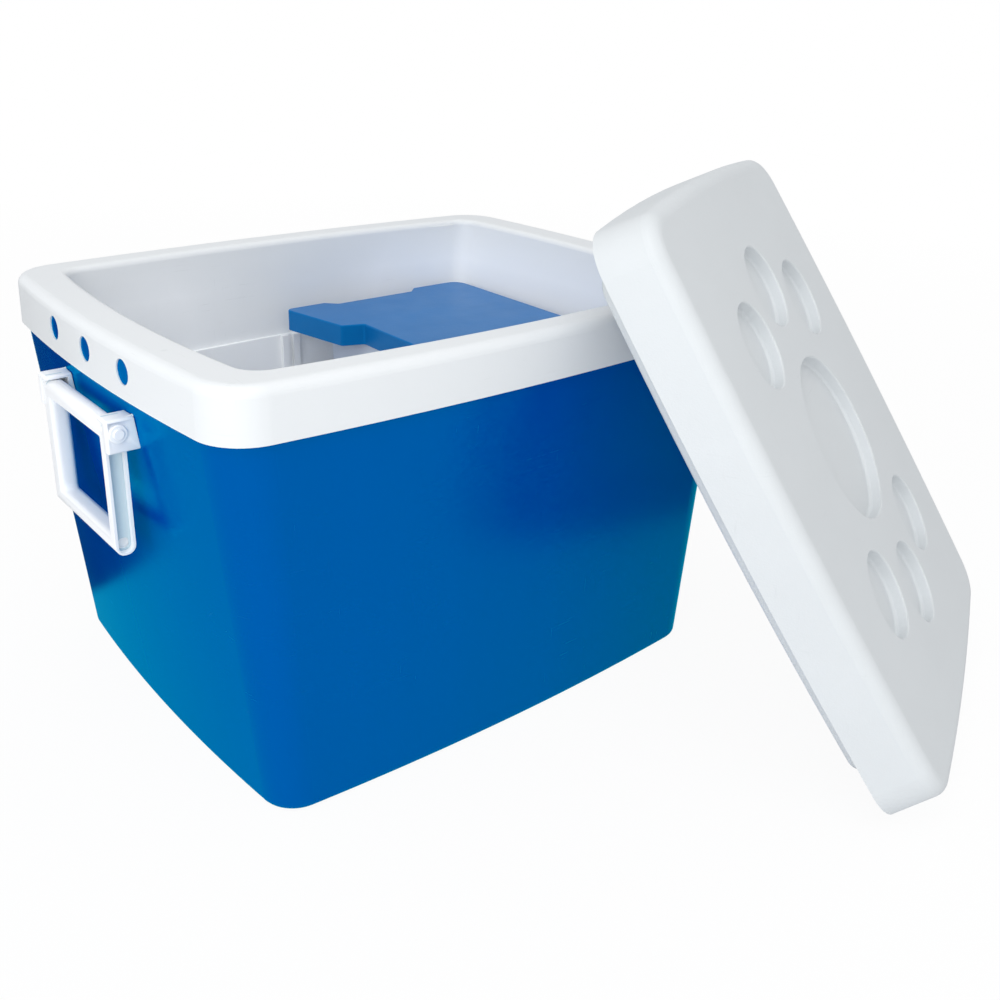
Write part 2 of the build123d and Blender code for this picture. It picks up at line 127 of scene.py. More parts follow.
LAMPS_AIM = (0.08, -0.08, 0.2)
CAMERA_PLACE = (-0.5378, -0.7895, 0.5794)
CAMERA_RIGHT = (0.7687, -0.6388, 0.0308)
CAMERA_BACK = (-0.5998, -0.7034, 0.3813)
CAMERA_SHIFT = (0.002, -0.051)
SENSOR_WIDTH = 36.0


# ------------------------------------------------------------------ settings
class CarrierColours(bpy.types.PropertyGroup):
    """Colours of the finishes"""

    shell: bpy.props.FloatVectorProperty(
        name="Shell",
        description="Deep blue of the outer tub",
        subtype="COLOR",
        size=3,
        min=0.0,
        max=1.0,
        default=(0.0, 0.034, 0.33),
    )
    collar: bpy.props.FloatVectorProperty(
        name="Collar and liner",
        description="Cool white of the liner and its collar",
        subtype="COLOR",
        size=3,
        min=0.0,
        max=1.0,
        default=(0.76, 0.785, 0.805),
    )
    fittings: bpy.props.FloatVectorProperty(
        name="Handles and brackets",
        description="White of the swing handles, brackets and pins",
        subtype="COLOR",
        size=3,
        min=0.0,
        max=1.0,
        default=(0.90, 0.92, 0.945),
    )
    lid: bpy.props.FloatVectorProperty(
        name="Lid",
        description="Softer white of the lid",
        subtype="COLOR",
        size=3,
        min=0.0,
        max=1.0,
        default=(0.655, 0.685, 0.705),
    )
    box_lid: bpy.props.FloatVectorProperty(
        name="Inner box's lid",
        description="Brighter blue of the lid inside the tub",
        subtype="COLOR",
        size=3,
        min=0.0,
        max=1.0,
        default=(0.003, 0.14, 0.42),
    )
    box: bpy.props.FloatVectorProperty(
        name="Inner box",
        description="Milky white of the box inside the tub",
        subtype="COLOR",
        size=3,
        min=0.0,
        max=1.0,
        default=(0.62, 0.68, 0.80),
    )
    foam: bpy.props.FloatVectorProperty(
        name="Foam",
        description="Cream of the insulation inside the walls",
        subtype="COLOR",
        size=3,
        min=0.0,
        max=1.0,
        default=(0.80, 0.74, 0.56),
    )
    steel: bpy.props.FloatVectorProperty(
        name="Screws",
        description="Plated steel of the bracket screws",
        subtype="COLOR",
        size=3,
        min=0.0,
        max=1.0,
        default=(0.56, 0.56, 0.58),
    )


class CarrierHandle(bpy.types.PropertyGroup):
    """Sizes of the swing handles and of their brackets"""

    arm_width: bpy.props.FloatProperty(
        name="Arm width",
        description="Width of each side arm, seen from the end of the tub",
        default=0.0118,
        min=0.006,
        max=0.02,
        unit="LENGTH",
    )
    bar_radius: bpy.props.FloatProperty(
        name="Bar rounding",
        description="Half-round of the grip and of the hinge bar",
        default=0.0068,
        min=0.004,
        max=0.0074,
        unit="LENGTH",
    )
    rim_radius: bpy.props.FloatProperty(
        name="Window rounding",
        description="Rounding round the window that the hand goes through",
        default=0.005,
        min=0.001,
        max=0.0055,
        unit="LENGTH",
    )
    grip_below: bpy.props.FloatProperty(
        name="Grip below",
        description="How much lower the full round of the grip hangs than the plain handle",
        default=0.0042,
        min=0.0,
        max=0.006,
        unit="LENGTH",
    )
    flange: bpy.props.FloatProperty(
        name="Flange",
        description="Wall left round the channel in each arm",
        default=0.002,
        min=0.001,
        max=0.003,
        unit="LENGTH",
    )
    channel: bpy.props.FloatProperty(
        name="Channel",
        description="Depth of the channel in each arm",
        default=0.0055,
        min=0.001,
        max=0.008,
        unit="LENGTH",
    )
    bracket_trim: bpy.props.FloatProperty(
        name="Bracket trim",
        description="How much lower the bracket's roof sits over the hinge bar",
        default=0.0054,
        min=0.0,
        max=0.006,
        unit="LENGTH",
    )


class CarrierStage(bpy.types.PropertyGroup):
    """Lens and lights of the stage"""

    focal_length: bpy.props.FloatProperty(
        name="Focal length",
        description="Lens of the camera, in millimetres on a 36 mm wide sensor",
        default=40.2156,
        min=10.0,
        max=200.0,
    )
    key_power: bpy.props.FloatProperty(
        name="Key light",
        description="Power of the large soft light at the front left",
        default=28.0,
        min=0.0,
        unit="POWER",
    )
    top_power: bpy.props.FloatProperty(
        name="Top light",
        description="Power of the soft light overhead",
        default=17.0,
        min=0.0,
        unit="POWER",
    )
    room_light: bpy.props.FloatProperty(
        name="Room light",
        description="Even light from all round",
        default=0.74,
        min=0.0,
        max=2.0,
    )


# ------------------------------------------------------------------ shader expressions
class Wire:
    """A shader output that can be used in plain arithmetic; each operation adds its Math node."""

    def __init__(self, graph, socket):
        self.graph = graph
        self.socket = socket

    def math(self, operation, *values):
        inputs = dict(enumerate(values))
        return self.graph.node("ShaderNodeMath", {"operation": operation}, inputs)

    def __add__(self, other):
        return self.math("ADD", self, other)

    __radd__ = __add__

    def __mul__(self, other):
        return self.math("MULTIPLY", self, other)

    __rmul__ = __mul__

    def __sub__(self, other):
        return self.math("SUBTRACT", self, other)

    def __rsub__(self, other):
        return self.math("SUBTRACT", other, self)

    def __truediv__(self, other):
        return self.math("DIVIDE", self, other)

    def size(self):
        """The value without its sign."""
        return self.math("ABSOLUTE", self)

    def clamp(self):
        """The value held between 0 and 1."""
        return self.graph.node("ShaderNodeClamp", {}, {"Value": self})

    def above(self, level, width):
        """0 below a level, 1 above it, with a ramp of a given width between."""
        return ((self - level) / width).clamp()


class Graph:
    """The emptied node tree of a material or a world. Its one node method makes every node."""

    def __init__(self, owner):
        owner.use_nodes = True
        self.tree = owner.node_tree
        self.tree.nodes.clear()

    def node(self, kind, settings=None, inputs=None, output=0):
        """Adds a node with its settings and the values or wires of its sockets."""
        node = self.tree.nodes.new(kind)
        for name, value in (settings or {}).items():
            setattr(node, name, value)
        for key, value in (inputs or {}).items():
            if isinstance(value, Wire):
                self.tree.links.new(value.socket, node.inputs[key])
            else:
                node.inputs[key].default_value = value
        return Wire(self, node.outputs[output]) if node.outputs else None

    def others(self, wire, names):
        """Wires from the named outputs of the node that a wire comes from."""
        outputs = wire.socket.node.outputs
        return [Wire(self, outputs[name]) for name in names]

    def mix_shaders(self, amount, first, second):
        """The first shader at 0, turning into the second at 1."""
        return self.node("ShaderNodeMixShader", {}, {0: amount, 1: first, 2: second})


class Paint(Graph):
    """A material being made. Its place, x, y and z are those of the object, in metres."""

    def __init__(self, name):
        self.material = bpy.data.materials.new(name)
        super().__init__(self.material)
        self.place = self.node("ShaderNodeTexCoord", output="Object")
        split = self.node("ShaderNodeSeparateXYZ", {}, {"Vector": self.place})
        self.x, self.y, self.z = self.others(split, "XYZ")

    def stretched(self, scale, turn=(0.0, 0.0, 0.0)):
        """The place scaled by axis and turned, for patterns that run one way."""
        inputs = {"Vector": self.place, "Scale": scale, "Rotation": turn}
        return self.node("ShaderNodeMapping", {}, inputs)

    def noise(self, scale, detail=2.0, roughness=0.5, place=None):
        inputs = {"Scale": scale, "Detail": detail, "Roughness": roughness}
        inputs["Vector"] = place or self.place
        return self.node("ShaderNodeTexNoise", {}, inputs)

    def cells(self, scale, feature="F1"):
        inputs = {"Vector": self.place, "Scale": scale}
        return self.node("ShaderNodeTexVoronoi", {"feature": feature}, inputs, "Distance")

    def mix(self, amount, low, high):
        """One colour at 0, turning into another at 1; 6, 7 and 2 are the colour sockets."""
        inputs = {"Factor": amount, 6: low, 7: high}
        return self.node("ShaderNodeMix", {"data_type": "RGBA"}, inputs, 2)

    def distance(self):
        """How far a place is from the middle of the tub's base."""
        settings = {"operation": "LENGTH"}
        return self.node("ShaderNodeVectorMath", settings, {0: self.place}, 1)

    def bump(self, height, strength, distance):
        inputs = {"Height": height, "Strength": strength, "Distance": distance}
        return self.node("ShaderNodeBump", {}, inputs)

    def principled(self, **inputs):
        """A Principled shader whose sockets are named by keyword."""
        named = {name.replace("_", " "): value for name, value in inputs.items()}
        return self.node("ShaderNodeBsdfPrincipled", {}, named)

    def finish(self, shader):
        """Ends the material with a shader and hands it over."""
        self.node("ShaderNodeOutputMaterial", {}, {"Surface": shader})
        return self.material

    def surface(self, **inputs):
        """Ends the material with one Principled shader."""
        return self.finish(self.principled(**inputs))


def shade(colour, factor):
    """A colour made lighter or darker, as a four-part value for a socket."""
    return tuple(min(1.0, part * factor) for part in colour) + (1.0,)


def whiten(colour, amount):
    """A colour taken part of the way to white."""
    return tuple(part + (1.0 - part) * amount for part in colour) + (1.0,)


def scratches(paint, fineness, level):
    """Hair-thin scuffs that come in loose patches: 1 on a scuff, 0 elsewhere."""
    across = paint.noise(1.0, 3.0, 0.6, paint.stretched((26.0, 26.0, fineness)))
    along = paint.noise(1.0, 3.0, 0.6, paint.stretched((fineness, 22.0, 30.0), (0.3, 0.5, 0.2)))
    patches = paint.noise(7.0, 2.0).above(0.5, 0.12)
    return (across.above(level, 0.03) + along.above(level + 0.02, 0.03)).clamp() * patches


# ------------------------------------------------------------------ finishes
def shell_plastic(colour):
    """Glossy deep-blue tub: faint flow streaks up the walls, scuffs, and wear near the floor."""
    paint = Paint("shell_blue_plastic")
    cloud = paint.noise(5.0, 3.0)
    streak = paint.noise(1.0, 2.0, 0.5, paint.stretched((38.0, 38.0, 1.4)))
    body = paint.mix(cloud * 0.6 + streak * 0.4, shade(colour, 0.93), shade(colour, 1.07))
    low = ((WORN_HEIGHT - paint.z) / WORN_HEIGHT).clamp()
    scuff = scratches(paint, 900.0, 0.68) * (0.12 + low * 0.88)
    worn = paint.mix(scuff * 0.14, body, whiten(colour, 0.2))
    peel = paint.noise(190.0, 2.0)
    grain = paint.noise(1400.0, 1.0)
    sheen = 0.2 + paint.noise(28.0, 3.0) * 0.09 + scuff * 0.2
    relief = paint.bump(peel * 0.8 + grain * 0.2 - scuff * 0.1, 0.12, 0.0005)
    plain = paint.principled(
        Base_Color=worn,
        Roughness=sheen,
        Normal=relief,
        Specular_IOR_Level=0.0,
    )
    gloss = paint.principled(
        Base_Color=GLOSS_TINT,
        Specular_Tint=GLOSS_TINT,
        Roughness=sheen,
        Normal=relief,
        Metallic=1.0,
    )
    share = paint.node("ShaderNodeFresnel", {}, {"IOR": GLOSS_IOR})
    return paint.finish(paint.mix_shaders(share, plain, gloss))


def collar_plastic(colour):
    """Semi-gloss white of the liner and collar, with painted light that makes it whiter and bluer
    inside the tub.
    """
    paint = Paint("collar_white_plastic")
    cloud = paint.noise(4.0, 3.0)
    streak = paint.noise(1.0, 2.0, 0.5, paint.stretched((30.0, 30.0, 2.0)))
    body = paint.mix(cloud * 0.5 + streak * 0.5, shade(colour, 0.975), shade(colour, 1.02))
    # Painted light: inside the tub the liner is turned towards a whiter, bluer colour.
    within_y = 1.0 - paint.y.size().above(LINER_INSIDE_Y, 0.004)
    within_x = 1.0 - paint.x.size().above(LINER_INSIDE_X, 0.004)
    inside = ((LINER_INSIDE_TOP - paint.z) / 0.04).clamp() * within_x * within_y
    body = paint.mix(inside * 0.85, body, LINER_INSIDE_PAINTED_LIGHT)
    scuff = scratches(paint, 700.0, 0.67)
    worn = paint.mix(scuff * 0.3, body, shade(colour, 0.82))
    return paint.surface(
        Base_Color=worn,
        Roughness=0.3 + paint.noise(22.0, 3.0) * 0.1 + scuff * 0.15,
        Normal=paint.bump(paint.noise(240.0, 2.0) + paint.noise(1600.0, 1.0) * 0.25, 0.1, 0.0004),
        IOR=1.49,
        Specular_IOR_Level=0.35,
    )


def fitting_plastic(colour):
    """White of the handles and brackets: a fine spark-eroded grain, rubbed where hands go.

    The floor of the channel in each handle arm has painted shade and a painted blue reflection of
    the shell, darker, duller and bluer than the rest.
    """
    paint = Paint("fitting_white_plastic")
    body = paint.mix(paint.noise(14.0, 3.0), shade(colour, 0.97), shade(colour, 1.02))
    # Painted shade and painted reflection: the channel floors turn to a darker, bluer white.
    floor_y = 1.0 - (paint.y.size() - CHANNEL_FLOOR_Y).size().above(0.0008, 0.0004)
    off_middle = (paint.x.size() - CHANNEL_FLOOR_X).size()
    floor_x = 1.0 - off_middle.above(CHANNEL_HALF_WIDTH, 0.0006)
    body = paint.mix(floor_x * floor_y, body, CHANNEL_FLOOR_PAINTED_SHADE)
    scuff = scratches(paint, 1100.0, 0.64)
    worn = paint.mix(scuff * 0.3, body, shade(colour, 0.8))
    grain = paint.noise(900.0, 2.0, 0.7) + paint.cells(1300.0) * 0.4
    return paint.surface(
        Base_Color=worn,
        Roughness=0.34 + paint.noise(60.0, 2.0) * 0.12,
        Normal=paint.bump(grain, 0.14, 0.0003),
        IOR=1.49,
        Specular_IOR_Level=0.45,
    )


def lid_plastic(colour, turn):
    """Satin white of the lid: soft clouds and flow lines along it, and a leathery grain."""
    paint = Paint("lid_white_plastic")
    cloud = paint.noise(9.0, 3.0, 0.6)
    flow = paint.noise(1.0, 2.0, 0.5, paint.stretched((2.0, 34.0, 34.0), turn))
    body = paint.mix(cloud * 0.6 + flow * 0.4, shade(colour, 0.955), shade(colour, 1.04))
    scuff = scratches(paint, 800.0, 0.66)
    worn = paint.mix(scuff * 0.3, body, shade(colour, 0.84))
    grain = paint.noise(420.0, 3.0, 0.6) + paint.cells(760.0) * 0.5
    return paint.surface(
        Base_Color=worn,
        Roughness=0.42 + paint.noise(18.0, 3.0) * 0.14,
        Normal=paint.bump(grain, 0.16, 0.0004),
        IOR=1.49,
        Specular_IOR_Level=0.35,
    )


def box_lid_plastic(colour):
    """Bright translucent-looking blue of the inner box's lid, with a brushed-on sheen."""
    paint = Paint("box_lid_blue_plastic")
    cloud = paint.noise(11.0, 3.0)
    flow = paint.noise(1.0, 3.0, 0.5, paint.stretched((7.0, 46.0, 46.0)))
    body = paint.mix(cloud * 0.5 + flow * 0.5, shade(colour, 0.9), shade(colour, 1.1))
    scuff = scratches(paint, 900.0, 0.62)
    worn = paint.mix(scuff * 0.4, body, whiten(colour, 0.3))
    return paint.surface(
        Base_Color=worn,
        Roughness=0.26 + paint.noise(35.0, 3.0) * 0.12 + scuff * 0.2,
        Normal=paint.bump(paint.noise(300.0, 2.0) + paint.noise(1500.0, 1.0) * 0.3, 0.12, 0.0004),
        IOR=1.5,
        Specular_IOR_Level=0.35,
        Specular_Tint=BOX_LID_TINT,
    )


def box_plastic(colour):
    """Milky white of the inner box, with painted shade that makes it darker and bluer towards its
    floor.
    """
    paint = Paint("box_milky_plastic")
    # Painted shade: the lower the place, the more the colour turns to a darker, bluer copy.
    deep = ((INNER_BOX_TOP - paint.z) / INNER_BOX_SHADED).clamp()
    painted_shade_colour = shade((colour[0] * 0.85, colour[1] * 0.9, colour[2] * 0.97), 0.95)
    body = paint.mix(deep * 0.6 + paint.noise(8.0, 3.0) * 0.3, colour + (1.0,), painted_shade_colour)
    streak = paint.noise(1.0, 2.0, 0.5, paint.stretched((60.0, 60.0, 3.0)))
    return paint.surface(
        Base_Color=body,
        Roughness=0.38 + streak * 0.14,
        Normal=paint.bump(paint.noise(500.0, 2.0) + streak, 0.1, 0.0004),
        IOR=1.5,
        Specular_IOR_Level=0.4,
    )


def bead_foam(colour):
    """Moulded bead foam: packed beads with darker seams between them."""
    paint = Paint("bead_foam")
    seam = paint.cells(330.0, "DISTANCE_TO_EDGE").above(0.02, 0.12)
    tint = paint.noise(60.0, 2.0)
    bead = paint.mix(tint, shade(colour, 0.94), shade(colour, 1.04))
    return paint.surface(
        Base_Color=paint.mix(seam, shade(colour, 0.72), bead),
        Roughness=0.85 + tint * 0.1,
        Normal=paint.bump(seam + tint * 0.3, 0.5, 0.0006),
    )


def plated_steel(colour):
    """Zinc-plated steel with fine turning lines and slight clouding."""
    paint = Paint("plated_steel")
    lines = paint.noise(1.0, 2.0, 0.6, paint.stretched((3200.0, 260.0, 260.0)))
    cloud = paint.noise(160.0, 3.0)
    return paint.surface(
        Base_Color=paint.mix(cloud, shade(colour, 0.86), shade(colour, 1.08)),
        Metallic=1.0,
        Roughness=0.26 + lines * 0.16 + cloud * 0.08,
        Normal=paint.bump(lines, 0.1, 0.0001),
    )


def dress(node, material):
    """Puts a finish on a CAD node's own mesh."""
    slots = frame["nodes"][node].data.materials
    slots.clear()
    slots.append(material)


# ------------------------------------------------------------------ modelling
def edit(piece):
    """Makes a piece the only one selected and opens its mesh, with nothing selected in it."""
    bpy.ops.object.select_all(action="DESELECT")
    piece.select_set(True)
    bpy.context.view_layer.objects.active = piece
    bpy.ops.object.mode_set(mode="EDIT")
    bpy.ops.mesh.select_all(action="DESELECT")


def pick(piece, kind, test):
    """Selects the points, edges or faces of the open mesh that pass a test, at least one."""
    bpy.ops.mesh.select_mode(type=kind)
    bpy.ops.mesh.select_all(action="DESELECT")
    mesh = bmesh.from_edit_mesh(piece.data)
    parts = {"VERT": mesh.verts, "EDGE": mesh.edges, "FACE": mesh.faces}[kind]
    found = [part for part in parts if test(part)]
    if not found:
        raise RuntimeError(f"{piece.name}: no {kind.lower()} passes the test")
    for part in found:
        part.select_set(True)
    mesh.select_flush_mode()
    bmesh.update_edit_mesh(piece.data)


def keep_points(piece, test):
    """Of the points selected now, keeps those that pass a test."""
    mesh = bmesh.from_edit_mesh(piece.data)
    kept = {point.index for point in mesh.verts if point.select and test(point.co)}
    pick(piece, "VERT", lambda point: point.index in kept)


def middle(part):
    """The middle of an edge or a face."""
    return sum((point.co for point in part.verts), Vector()) / len(part.verts)


def finish_piece(piece, material, softness):
    """Softens what sharp edges are left on a piece, smooths it and gives it its finish."""
    bpy.ops.mesh.select_all(action="SELECT")
    bpy.ops.mesh.normals_make_consistent(inside=False)
    bpy.ops.object.mode_set(mode="OBJECT")
    bevel = piece.modifiers.new("soft edges", "BEVEL")
    bevel.width = softness
    bevel.segments = 2
    bevel.limit_method = "ANGLE"
    bevel.angle_limit = SHARP_ANGLE
    bpy.ops.object.modifier_apply(modifier=bevel.name)
    bpy.ops.object.shade_smooth_by_angle(angle=SMOOTH_ANGLE)
    piece.data.materials.clear()
    piece.data.materials.append(material)


# ------------------------------------------------------------------ operators
class CARRIER_OT_dress_tub(bpy.types.Operator):
    """Finishes the blue tub, its white liner with the collar, and the foam between them"""

    bl_idname = "carrier.dress_tub"
    bl_label = "Dress the tub"

    def execute(self, context):
        colours = context.scene.carrier_colours
        dress("outer_shell", shell_plastic(tuple(colours.shell)))
        dress("inner_liner", collar_plastic(tuple(colours.collar)))
        foam = bead_foam(tuple(colours.foam))
        dress("body_insulation", foam)
        dress("lid_insulation", foam)
        return {"FINISHED"}


class CARRIER_OT_build_handles(bpy.types.Operator):
    """Builds the two swing handles: round bars, a rounded window and a channel in each arm"""

    bl_idname = "carrier.build_handles"
    bl_label = "Build the handles"

    def execute(self, context):
        white = fitting_plastic(tuple(context.scene.carrier_colours.fittings))
        left = self.build_left(context.scene.carrier_handle, white)
        right = left.copy()
        right.data = left.data.copy()
        right.name = "right_handle_moulding"
        context.scene.collection.objects.link(right)
        edit(right)
        bpy.ops.mesh.select_all(action="SELECT")
        bpy.ops.transform.resize(value=(-1.0, 1.0, 1.0), center_override=(0.0, 0.0, 0.0))
        bpy.ops.mesh.normals_make_consistent(inside=False)
        bpy.ops.object.mode_set(mode="OBJECT")
        for end, piece in zip(ENDS, (left, right)):
            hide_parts(f"{end}_handle")
            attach(piece, f"{end}_handle")
        return {"FINISHED"}

    def build_left(self, sizes, white):
        """The left handle, from a block: its bars are rounded, and a window goes through it."""
        low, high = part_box("left_handle")
        axis_x = (low.x + high.x) / 2
        swing = next(joint for joint in frame["joints"] if joint["name"] == "left_handle_swing")
        axis_z = swing["pos_m"][2]
        half_depth = (high.x - low.x) / 2
        half_width = (high.y - low.y) / 2
        bottom = low.z - sizes.grip_below
        top = axis_z + sizes.bar_radius
        window = half_width - sizes.arm_width
        window_top = axis_z - sizes.bar_radius
        window_bottom = bottom + 2 * sizes.bar_radius

        bpy.ops.object.select_all(action="DESELECT")
        place = (axis_x, 0.0, (top + bottom) / 2)
        block = (2 * half_depth, 2 * half_width, top - bottom)
        bpy.ops.mesh.primitive_cube_add(size=1.0, location=place, scale=block)
        bpy.ops.object.transform_apply(location=True, rotation=True, scale=True)
        piece = bpy.context.object
        piece.name = "left_handle_moulding"

        # The block's long edges turn into the half-rounds of the grip and of the hinge bar.
        edit(piece)
        pick(piece, "EDGE", lambda edge: abs(edge.verts[0].co.y - edge.verts[1].co.y) > half_width)
        bpy.ops.mesh.bevel(offset=sizes.bar_radius, segments=7, affect="EDGES")

        # The window: an inset on both broad faces, set to its height and joined through.
        pick(piece, "FACE", lambda face: abs(face.normal.x) > SQUARE)
        bpy.ops.mesh.inset(thickness=sizes.arm_width)
        low_edge = bottom + sizes.bar_radius + sizes.arm_width
        high_edge = axis_z - sizes.arm_width
        for edge_z, wanted in ((low_edge, window_bottom), (high_edge, window_top)):
            pick(piece, "VERT", lambda point: abs(point.co.y) < window + TOUCH
                 and abs(point.co.z - edge_z) < TOUCH)
            bpy.ops.transform.translate(value=(0.0, 0.0, wanted - edge_z))
        pick(piece, "FACE", lambda face: abs(face.normal.x) > SQUARE
             and all(abs(point.co.y) < window + TOUCH for point in face.verts))
        bpy.ops.mesh.bridge_edge_loops()

        # The window's four corners, then its two rims.
        pick(piece, "EDGE", lambda edge: abs(edge.verts[0].co.x - edge.verts[1].co.x) > half_depth
             and abs(middle(edge).y) < window + TOUCH)
        bpy.ops.mesh.bevel(offset=WINDOW_CORNER, segments=4, affect="EDGES")
        pick(piece, "EDGE", lambda edge: all(
            abs(abs(point.co.x - axis_x) - half_depth) < TOUCH / 10
            and abs(point.co.y) < window + TOUCH
            and window_bottom - TOUCH < point.co.z < window_top + TOUCH
            for point in edge.verts))
        bpy.ops.mesh.bevel(offset=sizes.rim_radius, segments=5, affect="EDGES")

        for side in (-1, 1):
            self.cut_channel(piece, side, half_width, axis_z, bottom, sizes)
        finish_piece(piece, white, HANDLE_SOFTNESS)
        return piece

    def cut_channel(self, piece, side, half_width, axis_z, bottom, sizes):
        """A channel down an arm's outer face, and a deeper pocket in its round lower end."""
        pick(piece, "FACE", lambda face: face.normal.y * side > SQUARE
             and middle(face).y * side > half_width - TOUCH)
        bpy.ops.mesh.inset(thickness=sizes.flange)
        channel_top = axis_z - CHANNEL_BELOW_AXIS
        drop = axis_z + sizes.bar_radius - sizes.flange - channel_top
        keep_points(piece, lambda place: place.z > axis_z - CHANNEL_TOP_BAND)
        bpy.ops.transform.translate(value=(0.0, 0.0, -drop))
        self.sink(piece, side, half_width, channel_top, sizes.channel)

        bpy.ops.mesh.inset(thickness=POCKET_INSET)
        half_depth = sizes.bar_radius + CHANNEL_END_EASE - sizes.flange
        pocket_top = bottom + sizes.flange + 2 * half_depth
        keep_points(piece, lambda place: place.z > axis_z - POCKET_TOP_BAND)
        bpy.ops.transform.translate(value=(0.0, 0.0, pocket_top - channel_top))
        self.sink(piece, side, half_width - sizes.channel, pocket_top, POCKET_DEPTH)

    def sink(self, piece, side, level, top, depth):
        """Pushes in the many-sided face at a level and under a height, and keeps it picked."""
        pick(piece, "FACE", lambda face: face.normal.y * side > SQUARE and len(face.verts) > 6
             and abs(middle(face).y * side - level) < TOUCH
             and all(point.co.z < top + TOUCH for point in face.verts))
        move = {"value": (0.0, -side * depth, 0.0)}
        bpy.ops.mesh.extrude_region_move(TRANSFORM_OT_translate=move)


class CARRIER_OT_build_brackets(bpy.types.Operator):
    """Builds the four brackets with their trimmed roofs, and finishes the pins and screws"""

    bl_idname = "carrier.build_brackets"
    bl_label = "Build the brackets"

    def execute(self, context):
        colours = context.scene.carrier_colours
        white = fitting_plastic(tuple(colours.fittings))
        steel = plated_steel(tuple(colours.steel))
        trim = context.scene.carrier_handle.bracket_trim
        for corner in CORNERS:
            self.build_bracket(context, corner, trim, white)
            dress(f"{corner}_pivot_pin", white)
            dress(f"{corner}_bracket_screws", steel)
        return {"FINISHED"}

    def build_bracket(self, context, corner, trim, white):
        """One bracket, from its solid's own mesh with the roof brought down to the bar."""
        node = frame["nodes"][f"{corner}_bracket"]
        piece = bpy.data.objects.new(f"{corner}_bracket_moulding", node.data.copy())
        context.scene.collection.objects.link(piece)
        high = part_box(f"{corner}_bracket")[1]
        edit(piece)
        bpy.ops.mesh.select_all(action="SELECT")
        bpy.ops.mesh.remove_doubles(threshold=MERGE_DISTANCE)
        bpy.ops.mesh.dissolve_limited(angle_limit=COPLANAR_ANGLE)
        pick(piece, "VERT", lambda point: point.co.z > high.z - BRACKET_ROOF_BAND)
        bpy.ops.transform.translate(value=(0.0, 0.0, -trim))
        finish_piece(piece, white, BRACKET_SOFTNESS)
        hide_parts(f"{corner}_bracket")
        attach(piece, "carrier")


class CARRIER_OT_dress_lid(bpy.types.Operator):
    """Finishes the lid's shell and the pan with its plug under it"""

    bl_idname = "carrier.dress_lid"
    bl_label = "Dress the lid"

    def execute(self, context):
        turn = Matrix.Rotation(math.radians(LID_YAW), 3, "Z")
        turn = turn @ Matrix.Rotation(math.radians(LID_TILT), 3, "Y")
        along = tuple(turn.transposed().to_euler("XYZ"))
        white = lid_plastic(tuple(context.scene.carrier_colours.lid), along)
        dress("lid_shell", white)
        dress("lid_inner_pan", white)
        return {"FINISHED"}


class CARRIER_OT_dress_inner_box(bpy.types.Operator):
    """Finishes the box inside the tub and its blue lid"""

    bl_idname = "carrier.dress_inner_box"
    bl_label = "Dress the inner box"

    def execute(self, context):
        colours = context.scene.carrier_colours
        dress("inner_box", box_plastic(tuple(colours.box)))
        dress("inner_box_lid", box_lid_plastic(tuple(colours.box_lid)))
        return {"FINISHED"}


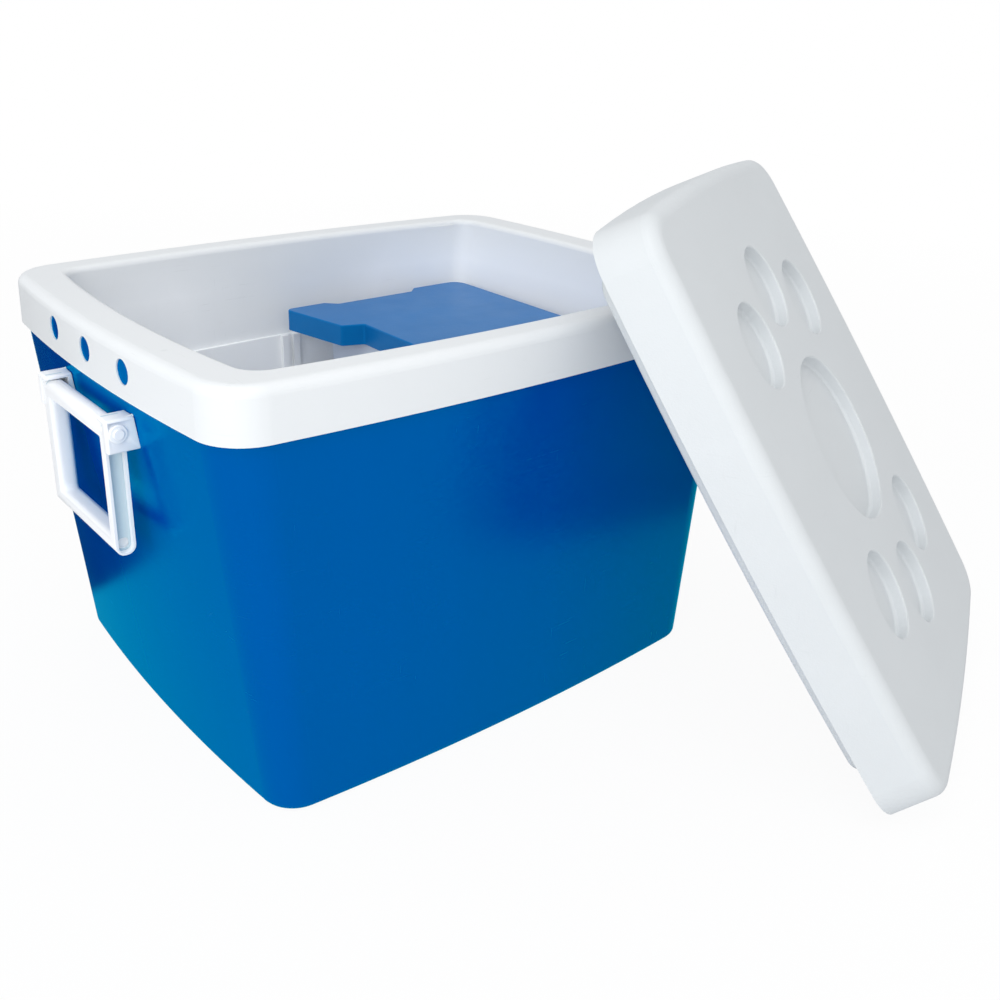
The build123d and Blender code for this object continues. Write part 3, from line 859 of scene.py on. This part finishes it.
class CARRIER_OT_build_stage(bpy.types.Operator):
    """Adds the pale floor, the soft lights and the camera"""

    bl_idname = "carrier.build_stage"
    bl_label = "Build the stage"

    def execute(self, context):
        stage = context.scene.carrier_stage
        self.add_floor()
        self.add_world(context, stage.room_light)
        self.add_light(context, "key", KEY_PLACE, KEY_SIZE, stage.key_power)
        self.add_light(context, "top", TOP_PLACE, TOP_SIZE, stage.top_power)
        self.add_camera(context, stage.focal_length)
        context.scene.view_settings.view_transform = "Standard"
        return {"FINISHED"}

    def add_floor(self):
        """A pale floor: lit by the lamps, white to the camera, and a painted reflection, greyer
        with a dark card, in what mirrors it.
        """
        bpy.ops.mesh.primitive_plane_add(size=FLOOR_SIZE, location=(0.0, 0.0, 0.0))
        floor = bpy.context.object
        floor.name = "floor"
        paint = Paint("pale_floor")
        camera = paint.node("ShaderNodeLightPath", output="Is Camera Ray")
        glossy, through = paint.others(camera, ("Is Glossy Ray", "Is Transmission Ray"))
        lit = paint.node("ShaderNodeBsdfDiffuse", {}, {"Color": FLOOR_COLOUR})
        glow = paint.node("ShaderNodeEmission", {}, {"Color": WHITE, "Strength": 1.0})
        away = paint.distance().above(GLOW_RISES_FROM, GLOW_RISES_OVER)
        seen = paint.mix_shaders(camera * (FLOOR_GLOW + away * (1.0 - FLOOR_GLOW)), lit, glow)
        # Painted reflection: what gloss sees of the floor is a glowing grey sky with a dark card
        # in it.
        sky = paint.mix(self.card(paint), MIRRORED_SKY, BLACK)
        painted_reflection = paint.node("ShaderNodeEmission", {}, {"Color": sky, "Strength": 1.0})
        paint.finish(paint.mix_shaders((glossy + through).clamp(), seen, painted_reflection))
        floor.data.materials.append(paint.material)

    def card(self, paint):
        """1 on the dark card that only gloss mirrors, a painted dark reflection, 0 elsewhere on
        the floor.

        Its left side slants, and its front and right sides run along X and Y.
        """
        left, front = CARD_CORNER
        slanted = (paint.x - left + (paint.y - front) * CARD_SLANT).above(0.0, CARD_EDGE)
        behind = paint.y.above(CARD_FRONT, CARD_EDGE)
        return slanted * behind * (CARD_RIGHT - paint.x).above(0.0, 2 * CARD_EDGE)

    def add_world(self, context, strength):
        """Even light from all round, white to the camera and greyer in gloss."""
        world = bpy.data.worlds.new("soft_room")
        graph = Graph(world)
        room = graph.node("ShaderNodeBackground", {}, {"Color": WHITE, "Strength": strength})
        backdrop = graph.node("ShaderNodeBackground", {}, {"Color": WHITE})
        sky = graph.node("ShaderNodeBackground", {}, {"Color": MIRRORED_SKY})
        camera = graph.node("ShaderNodeLightPath", output="Is Camera Ray")
        (glossy,) = graph.others(camera, ("Is Glossy Ray",))
        light = graph.mix_shaders(glossy, graph.mix_shaders(camera, room, backdrop), sky)
        graph.node("ShaderNodeOutputWorld", {}, {"Surface": light})
        context.scene.world = world

    def add_light(self, context, name, place, size, power):
        """A round soft lamp, turned towards the object."""
        lamp = bpy.data.lights.new(name, "AREA")
        lamp.shape = "DISK"
        lamp.size = size
        lamp.energy = power
        light = bpy.data.objects.new(name, lamp)
        light.location = place
        aim = Vector(LAMPS_AIM) - Vector(place)
        light.rotation_euler = aim.to_track_quat("-Z", "Y").to_euler()
        context.scene.collection.objects.link(light)

    def add_camera(self, context, focal_length):
        """The camera, from its place and from which way its right and its back point."""
        lens = bpy.data.cameras.new("camera")
        lens.sensor_width = SENSOR_WIDTH
        lens.lens = focal_length
        lens.shift_x, lens.shift_y = CAMERA_SHIFT
        camera = bpy.data.objects.new("camera", lens)
        right = Vector(CAMERA_RIGHT).normalized()
        back = Vector(CAMERA_BACK)
        back = (back - right * back.dot(right)).normalized()
        turn = Matrix((right, back.cross(right), back)).transposed()
        camera.matrix_world = Matrix.Translation(CAMERA_PLACE) @ turn.to_4x4()
        context.scene.collection.objects.link(camera)
        context.scene.camera = camera


class CARRIER_PT_sidebar(bpy.types.Panel):
    """The settings, and a button for each step"""

    bl_label = "Vaccine carrier"
    bl_idname = "CARRIER_PT_sidebar"
    bl_space_type = "VIEW_3D"
    bl_region_type = "UI"
    bl_category = "Carrier"

    def draw(self, context):
        scene = context.scene
        for group in (scene.carrier_colours, scene.carrier_handle, scene.carrier_stage):
            rows = self.layout.box()
            for name in group.__annotations__:
                rows.prop(group, name)
        for operator in OPERATORS:
            self.layout.operator(operator.bl_idname)


OPERATORS = (
    CARRIER_OT_dress_tub,
    CARRIER_OT_build_handles,
    CARRIER_OT_build_brackets,
    CARRIER_OT_dress_lid,
    CARRIER_OT_dress_inner_box,
    CARRIER_OT_build_stage,
)
CLASSES = (CarrierColours, CarrierHandle, CarrierStage) + OPERATORS + (CARRIER_PT_sidebar,)


def register():
    for cls in CLASSES:
        bpy.utils.register_class(cls)
    bpy.types.Scene.carrier_colours = bpy.props.PointerProperty(type=CarrierColours)
    bpy.types.Scene.carrier_handle = bpy.props.PointerProperty(type=CarrierHandle)
    bpy.types.Scene.carrier_stage = bpy.props.PointerProperty(type=CarrierStage)


def unregister():
    del bpy.types.Scene.carrier_stage
    del bpy.types.Scene.carrier_handle
    del bpy.types.Scene.carrier_colours
    for cls in reversed(CLASSES):
        bpy.utils.unregister_class(cls)


def main():
    """Makes the whole scene."""
    register()
    bpy.ops.carrier.dress_tub()
    bpy.ops.carrier.build_handles()
    bpy.ops.carrier.build_brackets()
    bpy.ops.carrier.dress_lid()
    bpy.ops.carrier.dress_inner_box()
    bpy.ops.carrier.build_stage()


if __name__ == "__main__":
    main()
